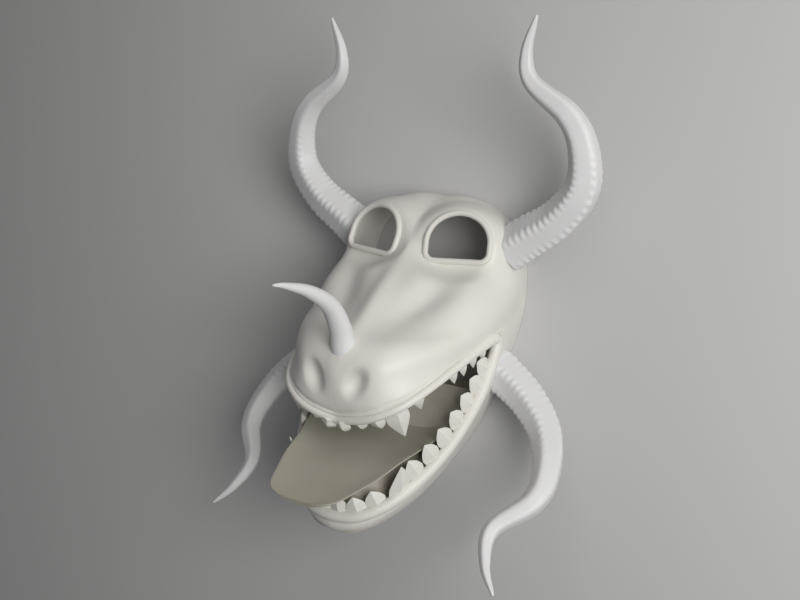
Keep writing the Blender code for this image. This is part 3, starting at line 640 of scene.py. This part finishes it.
def tongue_point(u, v):
    """Round the tongue's section with u, along it with v; its ends close to a line."""
    if v < TONGUE_END:
        t, full = 0.0, v / TONGUE_END
    elif v > 1 - TONGUE_END:
        t, full = 1.0, (1 - v) / TONGUE_END
    else:
        t, full = (v - TONGUE_END) / (1 - 2 * TONGUE_END), 1.0
    t = 1 - (1 - t) ** TONGUE_CROWDING
    edge = tongue_edge(t)
    angle = 2 * math.pi * u
    wide, high = math.cos(angle), math.sin(angle)
    wide = math.copysign(abs(wide) ** TONGUE_SQUARENESS, wide)
    dish = TONGUE_DISH * (1 - TONGUE_DISH_LOSS * t**3) * (1 - abs(wide) ** TONGUE_DISH_POWER)
    half = TONGUE_THICKNESS / 2 * (1.0 - TONGUE_THINNING * t**2)
    lift = half * high * full - dish
    return Vector((edge.x * wide, edge.y, edge.z)) + TONGUE_OVER * lift


bm = skin(*TONGUE_GRID, tongue_point)
lay(bm)
dress(piece_from(bm, "tongue"), mouth_print_painted_shade, "mask_shell")


def floor_edge(a):
    """The floor's edge at share a of the lip, set inside the wall."""
    edge = jaw_point(a, FLOOR_ROW)
    back, aside = jaw_point(a, FLOOR_ROW + FLOOR_STEP) - edge, jaw_point(a + FLOOR_STEP, FLOOR_ROW) - edge
    outward = back.cross(aside).normalized()
    return edge - outward * math.copysign(WALL / 2, outward.x)


def floor_point(u, v):
    """From the floor's edge at +X to the other with u, from its front to its rear with v."""
    edge = floor_edge(FLOOR_FRONT + (FLOOR_REAR - FLOOR_FRONT) * v)
    return Vector((edge.x * (1 - 2 * u), edge.y, edge.z))


def root_point(u, v):
    """Round the root's four sides with u, along it with v; its ends close to a line."""
    edge = floor_edge(ROOT_FRONT + ROOT_LENGTH * min(max((v - ROOT_END) / (1 - 2 * ROOT_END), 0.0), 1.0))
    t = (edge.z / HEAD_DEPTH - TONGUE_REAR[1]) / (TONGUE_TIP[1] - TONGUE_REAR[1])
    top = tongue_edge(t).y - TONGUE_DISH - TONGUE_THICKNESS * ROOT_BELOW
    low = edge.y - FLOOR_THICKNESS * ROOT_BELOW
    full = min(v / ROOT_END, (1 - v) / ROOT_END, 1.0)
    wide, high = math.cos(2 * math.pi * u), math.sin(2 * math.pi * u)
    size = max(abs(wide), abs(high))
    across = ROOT_WIDTH * edge.x * wide / size
    return Vector((across, (top + low) / 2 + (top - low) / 2 * full * high / size, edge.z))


bm = skin(*ROOT_GRID, root_point)
lay(bm)
dress(piece_from(bm, "tongue_root"), mouth_floor_print_painted_shade, "mask_shell")

bm = skin(*FLOOR_GRID, floor_point)
pulled = bmesh.ops.extrude_face_region(bm, geom=bm.faces[:])["geom"]
under = [v for v in pulled if isinstance(v, bmesh.types.BMVert)]
bmesh.ops.translate(bm, vec=(0, -FLOOR_THICKNESS, 0), verts=under)
bmesh.ops.recalc_face_normals(bm, faces=bm.faces)
lay(bm)
dress(piece_from(bm, "mouth_floor"), mouth_floor_print_painted_shade, "mask_shell")

# The teeth
# Leaf-shaped teeth stand in both lips, printed with the head. Each side of each jaw has a long fang, with
# small teeth in front of it and behind.
UPPER_TOOTH_AXIS = Vector((0, -0.8, -0.6))
LOWER_TOOTH_AXIS = Vector((0, 0.9, 0.43))
UPPER_FANG_AXIS = Vector((0.09, -0.8, -0.6)).normalized()
LOWER_FANG_AXIS = Vector((0.23, 0.85, 0.48)).normalized()
TOOTH_ROOT = 4 * MM
TOOTH_THICKNESS = 7.5 * MM
FACET = 1.06                # near 1, so that a tooth has flat facets with a ridge between them
TOOTH_INWARD = 0.6          # how far behind the middle of its lip a tooth stands, in the lip's radii
TOOTH_RISE = 0.5            # how far towards the mouth's opening its foot stands, in the lip's radii
TOOTH_GRID = (20, 14)
TOOTH_SHARP = 28
FRONT_TEETH_TO = 0.1        # nearer the middle than this, a lip runs across the head
LIP_STEPS = 60

# Widths and heights of the teeth
LOWER_TOOTH = (18 * MM, 20 * MM)
LOWER_FRONT_TOOTH = (18 * MM, 15.5 * MM)
UPPER_TOOTH_WIDTH = 14.5 * MM
UPPER_FRONT_HEIGHTS = (8.5 * MM, 9.5 * MM, 12.5 * MM)
UPPER_SIDE_TOOTH = (11 * MM, 14 * MM)
UPPER_FANG_SIZE = (19.5 * MM, 29 * MM)
LOWER_FANG_SIZE = (21 * MM, 29.5 * MM)

# A tooth's breadth by the share of its height
LEAF = ((0.0, 0.86), (0.18, 0.96), (0.35, 1.0), (0.55, 0.86), (0.72, 0.66), (0.88, 0.32), (1.0, 0.02))
POINTED = ((0.0, 0.93), (0.33, 1.0), (0.55, 0.74), (0.78, 0.38), (1.0, 0.02))

# Where the teeth stand, by the share of the lip's length from its middle to its corner
UPPER_FRONT = (0.037, 0.114, 0.2)
UPPER_FANG = 0.3
UPPER_SIDE = (0.42, 0.64, 0.71, 0.785, 0.86)
LOWER_FRONT = (0.038, 0.112, 0.188)
LOWER_FANG = 0.278
LOWER_SIDE = (0.366, 0.45, 0.532, 0.612, 0.69, 0.766, 0.84)


def lip_share(lip, share):
    """The lip point at a share of its length from the middle, and its direction there."""
    points = [lip_point(i / LIP_STEPS, lip) for i in range(LIP_STEPS + 1)]
    lengths = [(b - a).length for a, b in zip(points[:-1], points[1:])]
    left = share * sum(lengths)
    for i, length in enumerate(lengths):
        if left <= length:
            return points[i].lerp(points[i + 1], left / length), (points[i + 1] - points[i]).normalized()
        left -= length
    return points[-1], (points[-1] - points[-2]).normalized()


def tooth(bm, lip, share, size, profile, side, lean=None):
    """Add one tooth to bm: a leaf with a ridge down its middle, square to its lip unless it leans."""
    width, height = size
    upper = lip is UPPER_LIP
    foot, along = lip_share(lip, share)
    axis = UPPER_TOOTH_AXIS if upper else LOWER_TOOTH_AXIS
    inward = along.cross(axis).normalized()
    if inward.x > 0 or (share < FRONT_TEETH_TO and inward.z > 0):
        inward = -inward
    radius = UPPER_LIP_RADIUS if upper else LOWER_LIP_RADIUS
    foot = foot + inward * radius * TOOTH_INWARD + axis * radius * TOOTH_RISE
    axis = lean or (axis - along * axis.dot(along)).normalized()
    flip = Vector((side, 1, 1))

    def point(u, v):
        low = -TOOTH_ROOT / height
        share_up = low + (1 - low) * v
        breadth = spline(profile, max(share_up, 0.0)) if 0 < v < 1 else 0.0
        angle = 2 * math.pi * u
        wide, deep = math.cos(angle), math.sin(angle)
        round_size = (abs(wide) ** FACET + abs(deep) ** FACET) ** (1 / FACET)
        across = width / 2 * breadth * wide / round_size
        thick = TOOTH_THICKNESS / 2 * breadth * deep / round_size
        return (foot + axis * (share_up * height) + along * across + inward * thick) * flip

    part = skin(*TOOTH_GRID, point)
    mesh = bpy.data.meshes.new("tooth")
    part.to_mesh(mesh)
    part.free()
    bm.from_mesh(mesh)
    bpy.data.meshes.remove(mesh)


bm = bmesh.new()
for side in (1, -1):
    for share, height in zip(UPPER_FRONT, UPPER_FRONT_HEIGHTS):
        tooth(bm, UPPER_LIP, share, (UPPER_TOOTH_WIDTH, height), LEAF, side)
    for share in UPPER_SIDE:
        tooth(bm, UPPER_LIP, share, UPPER_SIDE_TOOTH, POINTED, side)
    for share in LOWER_FRONT:
        tooth(bm, LOWER_LIP, share, LOWER_FRONT_TOOTH, LEAF, side)
    for share in LOWER_SIDE:
        tooth(bm, LOWER_LIP, share, LOWER_TOOTH, LEAF, side)
    tooth(bm, UPPER_LIP, UPPER_FANG, UPPER_FANG_SIZE, POINTED, side, UPPER_FANG_AXIS)
    tooth(bm, LOWER_LIP, LOWER_FANG, LOWER_FANG_SIZE, POINTED, side, LOWER_FANG_AXIS)
lay(bm)
dress(piece_from(bm, "teeth"), face_print, "mask_shell", sharp=TOOTH_SHARP)

# The side horns
# Four long horns, printed on their own in a cooler white and glued on beside the eyes and the jaw. Their
# white is set a little darker than the face's, as painted shade. Each has five soft corners, with a row of
# small ribs that fades towards the smooth tip.
HORN_REACH = 186 * MM
UPPER_HORN_RADIUS = 19.2 * MM
LOWER_HORN_RADIUS = 18 * MM
HORN_TIP_RADIUS = 1.0 * MM
HORN_TAPER = 0.73
HORN_CORNERS = 5
RIB_PITCH = 6.4 * MM
RIB_HEIGHT = 0.95 * MM
RIB_WIDTH, RIB_NARROWING = 0.24, 0.14   # half a rib's width at the foot and what it loses, in radians
RIBBED_SHARE = 0.66
RIBS_RISE = (-0.02, 0.06)   # the shares of the length between which the ribs reach their height
HORN_ROUND, HORN_CORNER = 0.935, 0.1    # the radius between the corners, and how far they stand out
CORNER_SHARPNESS = 1.2
BEND_STEPS = 400
HORN_GRID = (100, 320)
UPPER_HORN_LEAN = math.radians(18)
LOWER_HORN_LEAN = math.radians(33)
LOWER_HORN_SPLAY = math.radians(17.8)
LOWER_HORN_TWIST = math.radians(-10.5)
CORE_GRID = (120, 40)
CORE_INSET = 1.2            # in mm

# The bends, by the share of the horn's length: along it and outward, as shares of its reach
UPPER_HORN_BEND = (
    (-0.09, -0.061, -0.085),
    (0.0, 0.0, 0.0),
    (0.17, 0.113, 0.155),
    (0.33, 0.267, 0.259),
    (0.48, 0.448, 0.253),
    (0.63, 0.584, 0.178),
    (0.755, 0.718, 0.009),
    (0.87, 0.844, -0.016),
    (1.0, 1.0, 0.031),
)
LOWER_HORN_BEND = (
    (-0.09, -0.12, -0.035),
    (0.0, -0.053, 0.041),
    (0.17, 0.087, 0.161),
    (0.33, 0.264, 0.247),
    (0.48, 0.455, 0.248),
    (0.63, 0.592, 0.184),
    (0.755, 0.718, 0.014),
    (0.87, 0.87, -0.007),
    (1.0, 1.0, 0.031),
)
UPPER_HORN_FOOT = place(1.094, 0.8456, 0.2205)
LOWER_HORN_FOOT = place(0.942, 0.1804, 0.2188)


def horn_frame(up, lean, splay, twist):
    """Directions of the right horn of a pair: along it, and outward in the plane of its bend."""
    along = Vector((math.sin(splay), up * math.cos(splay) * math.cos(lean), math.cos(splay) * math.sin(lean)))
    out = Vector((math.cos(splay), -up * math.sin(splay) * math.cos(lean), -math.sin(splay) * math.sin(lean)))
    out.rotate(Quaternion(along, twist))
    return along, out


def bend_path(stations, foot, along, out, reach):
    """Even points down the middle of a horn, and the length to each."""
    first, last = stations[0][0], stations[-1][0]
    points = []
    for i in range(BEND_STEPS + 1):
        a, b = spline(stations, first + (last - first) * i / BEND_STEPS)
        points.append(foot + along * (a * reach) + out * (b * reach))
    lengths = [0.0]
    for a, b in zip(points[:-1], points[1:]):
        lengths.append(lengths[-1] + (b - a).length)
    return points, lengths


def at_length(path, length):
    """The point and the direction at a length along a path."""
    points, lengths = path
    i = 0
    while i < len(points) - 2 and lengths[i + 1] < length:
        i += 1
    share = (length - lengths[i]) / (lengths[i + 1] - lengths[i])
    before, after = points[max(i - 2, 0)], points[min(i + 3, len(points) - 1)]
    return points[i].lerp(points[i + 1], share), (after - before).normalized()


def horn_bm(path, normal, radius_at, around, rings):
    """A horn round its middle line, closed at both ends."""
    whole = path[1][-1]
    stops = {}

    def point(u, v):
        ring = round(v * rings)
        length = whole * min(max(ring - 1, 0) / (rings - 2), 1.0)
        if ring not in stops:
            middle, along = at_length(path, length)
            stops[ring] = (middle, along.cross(normal).normalized())
        middle, out = stops[ring]
        radius = radius_at(length, whole, 2 * math.pi * u) if 0 < ring < rings else 0.0
        angle = 2 * math.pi * u
        return middle + (out * math.cos(angle) + normal * math.sin(angle)) * radius

    return skin(around, rings, point)


def side_horn_radius(foot_radius):
    """A side horn's radius at a length and an angle: five soft corners, ribbed where they are broad."""
    spacing = 2 * math.pi / HORN_CORNERS

    def radius_at(length, whole, angle):
        share = min(length / whole, 1.0)
        radius = foot_radius * (1 - share) ** HORN_TAPER + HORN_TIP_RADIUS
        corner = (0.5 + 0.5 * math.cos(HORN_CORNERS * angle)) ** CORNER_SHARPNESS
        away = abs((angle + spacing / 2) % spacing - spacing / 2)
        worn = smooth_step(0.0, RIBBED_SHARE, share)
        narrow = hump(away / (RIB_WIDTH - RIB_NARROWING * worn))
        rib = (0.5 + 0.5 * math.cos(2 * math.pi * length / RIB_PITCH)) * narrow
        rib *= smooth_step(*RIBS_RISE, share)
        return radius * (HORN_ROUND + HORN_CORNER * corner) + RIB_HEIGHT * rib * (1 - worn**3)

    return radius_at


def head_core():
    """The head filled in, a little inside its outer face: what a horn's foot may not reach into."""
    bm = head_sheet(*CORE_GRID)
    run_past_rim(bm)
    shrunk = [vertex.co - vertex.normal * CORE_INSET * MM for vertex in bm.verts]
    for vertex, point in zip(bm.verts, shrunk):
        vertex.co = point
    bmesh.ops.holes_fill(bm, edges=[edge for edge in bm.edges if edge.is_boundary])
    bmesh.ops.triangulate(bm, faces=[face for face in bm.faces if len(face.verts) > 4])
    bmesh.ops.recalc_face_normals(bm, faces=bm.faces)
    lay(bm)
    return piece_from(bm, "head_core")


# A cool white, set a little darker than the face's as painted shade.
horn_print_painted_shade = print_plastic("horn_print_painted_shade", (0.8, 0.8, 0.8), (0.76, 0.76, 0.76), 0.4)
upper_frame = horn_frame(1, UPPER_HORN_LEAN, 0, 0)
lower_frame = horn_frame(-1, LOWER_HORN_LEAN, LOWER_HORN_SPLAY, LOWER_HORN_TWIST)
for name, bend, foot, (along, out), foot_radius in (
    ("upper_horn", UPPER_HORN_BEND, UPPER_HORN_FOOT, upper_frame, UPPER_HORN_RADIUS),
    ("lower_horn", LOWER_HORN_BEND, LOWER_HORN_FOOT, lower_frame, LOWER_HORN_RADIUS),
):
    for word, side in (("right", 1), ("left", -1)):
        flip = Vector((side, 1, 1))
        path = bend_path(bend, foot * flip, along * flip, out * flip, HORN_REACH)
        normal = (along * flip).cross(out * flip).normalized()
        bm = horn_bm(path, normal, side_horn_radius(foot_radius), *HORN_GRID)
        lay(bm)
        horn = piece_from(bm, name + "_" + word + "_print")
        cut(horn, head_core())
        dress(horn, horn_print_painted_shade, name + "_" + word)

# The nose horn
# One smooth horn, printed on its own in the same cooler white, with the same painted shade. It is glued on
# the muzzle, where it leans towards the crown and then turns outward.
NOSE_HORN_REACH = 113 * MM
NOSE_HORN_RADIUS = 10.5 * MM
NOSE_HORN_TIP_RADIUS = 0.9 * MM
NOSE_HORN_TAPER = 0.85
NOSE_HORN_GRID = (40, 120)
NOSE_HORN_FOOT = place(0, 0.3, 1.02)
NOSE_HORN_BEND = (
    (-0.1, -0.09, -0.05),
    (0.0, 0.0, 0.0),
    (0.16, 0.154, 0.078),
    (0.35, 0.313, 0.236),
    (0.6, 0.41, 0.503),
    (0.85, 0.4455, 0.782),
    (1.0, 0.4465, 0.895),
)


def nose_horn_radius(length, whole, _):
    return NOSE_HORN_RADIUS * (1 - min(length / whole, 1.0)) ** NOSE_HORN_TAPER + NOSE_HORN_TIP_RADIUS


path = bend_path(NOSE_HORN_BEND, NOSE_HORN_FOOT, Vector((0, 1, 0)), Vector((0, 0, 1)), NOSE_HORN_REACH)
bm = horn_bm(path, Vector((1, 0, 0)), nose_horn_radius, *NOSE_HORN_GRID)
lay(bm)
nose_horn = piece_from(bm, "nose_horn_print")
cut(nose_horn, head_core())
dress(nose_horn, horn_print_painted_shade, "nose_horn")

# The floor, the light and the camera
# A plain pale floor lies under the mask and isn't part of it. One soft light stands to its right and a weaker
# one beyond its crown, and the camera has the photograph's viewing angle.
FLOOR_HALF = 3.0
FLOOR_GAP = 0.0005          # the floor lies this far below the rear rim
LIGHTS_AIM = Vector((0, 0, 0.08))
CAMERA_PLACE = (0.3933, 0.1558 + LIE, 0.7697)
CAMERA_TURN = Matrix(((0.85777, -0.14284, 0.49378), (0.1238, 0.98975, 0.07126), (-0.4989, 0.0, 0.8667)))

bm = bmesh.new()
bmesh.ops.create_grid(bm, x_segments=1, y_segments=1, size=FLOOR_HALF)
bmesh.ops.translate(bm, vec=(0, 0, -FLOOR_GAP), verts=bm.verts)
studio_floor = piece_from(bm, "studio_floor")
paper = bpy.data.materials.new("pale_paper")
paper.use_nodes = True
paper_shader = paper.node_tree.nodes["Principled BSDF"]
paper_shader.inputs["Base Color"].default_value = (0.6, 0.6, 0.59, 1)
paper_shader.inputs["Roughness"].default_value = 0.9
studio_floor.data.materials.append(paper)


def soft_light(name, where, size, power, color):
    """A round area light that looks at the middle of the mask."""
    light = bpy.data.lights.new(name, "AREA")
    light.shape = "DISK"
    light.size = size
    light.energy = power
    light.color = color
    lamp = bpy.data.objects.new(name, light)
    bpy.context.scene.collection.objects.link(lamp)
    lamp.location = where
    lamp.rotation_mode = "QUATERNION"
    lamp.rotation_quaternion = (LIGHTS_AIM - Vector(where)).to_track_quat("-Z", "Y")


soft_light("key", where=(0.98, 0.12, 0.9), size=0.8, power=10.8, color=(1.0, 0.995, 0.985))
soft_light("fill", where=(0.35, 0.95, 0.8), size=1.0, power=2.2, color=(1.0, 0.98, 0.95))
world = bpy.data.worlds.new("studio")
world.use_nodes = True
sky = world.node_tree.nodes["Background"]
sky.inputs["Color"].default_value = (0.95, 0.97, 1.0, 1)
sky.inputs["Strength"].default_value = 0.12
bpy.context.scene.world = world
bpy.context.scene.view_settings.view_transform = "Standard"

lens = bpy.data.cameras.new("camera")
lens.lens = 40.5
lens.sensor_width = 36
camera = bpy.data.objects.new("camera", lens)
bpy.context.scene.collection.objects.link(camera)
camera.matrix_world = Matrix.Translation(CAMERA_PLACE) @ CAMERA_TURN.to_4x4()
bpy.context.scene.camera = camera
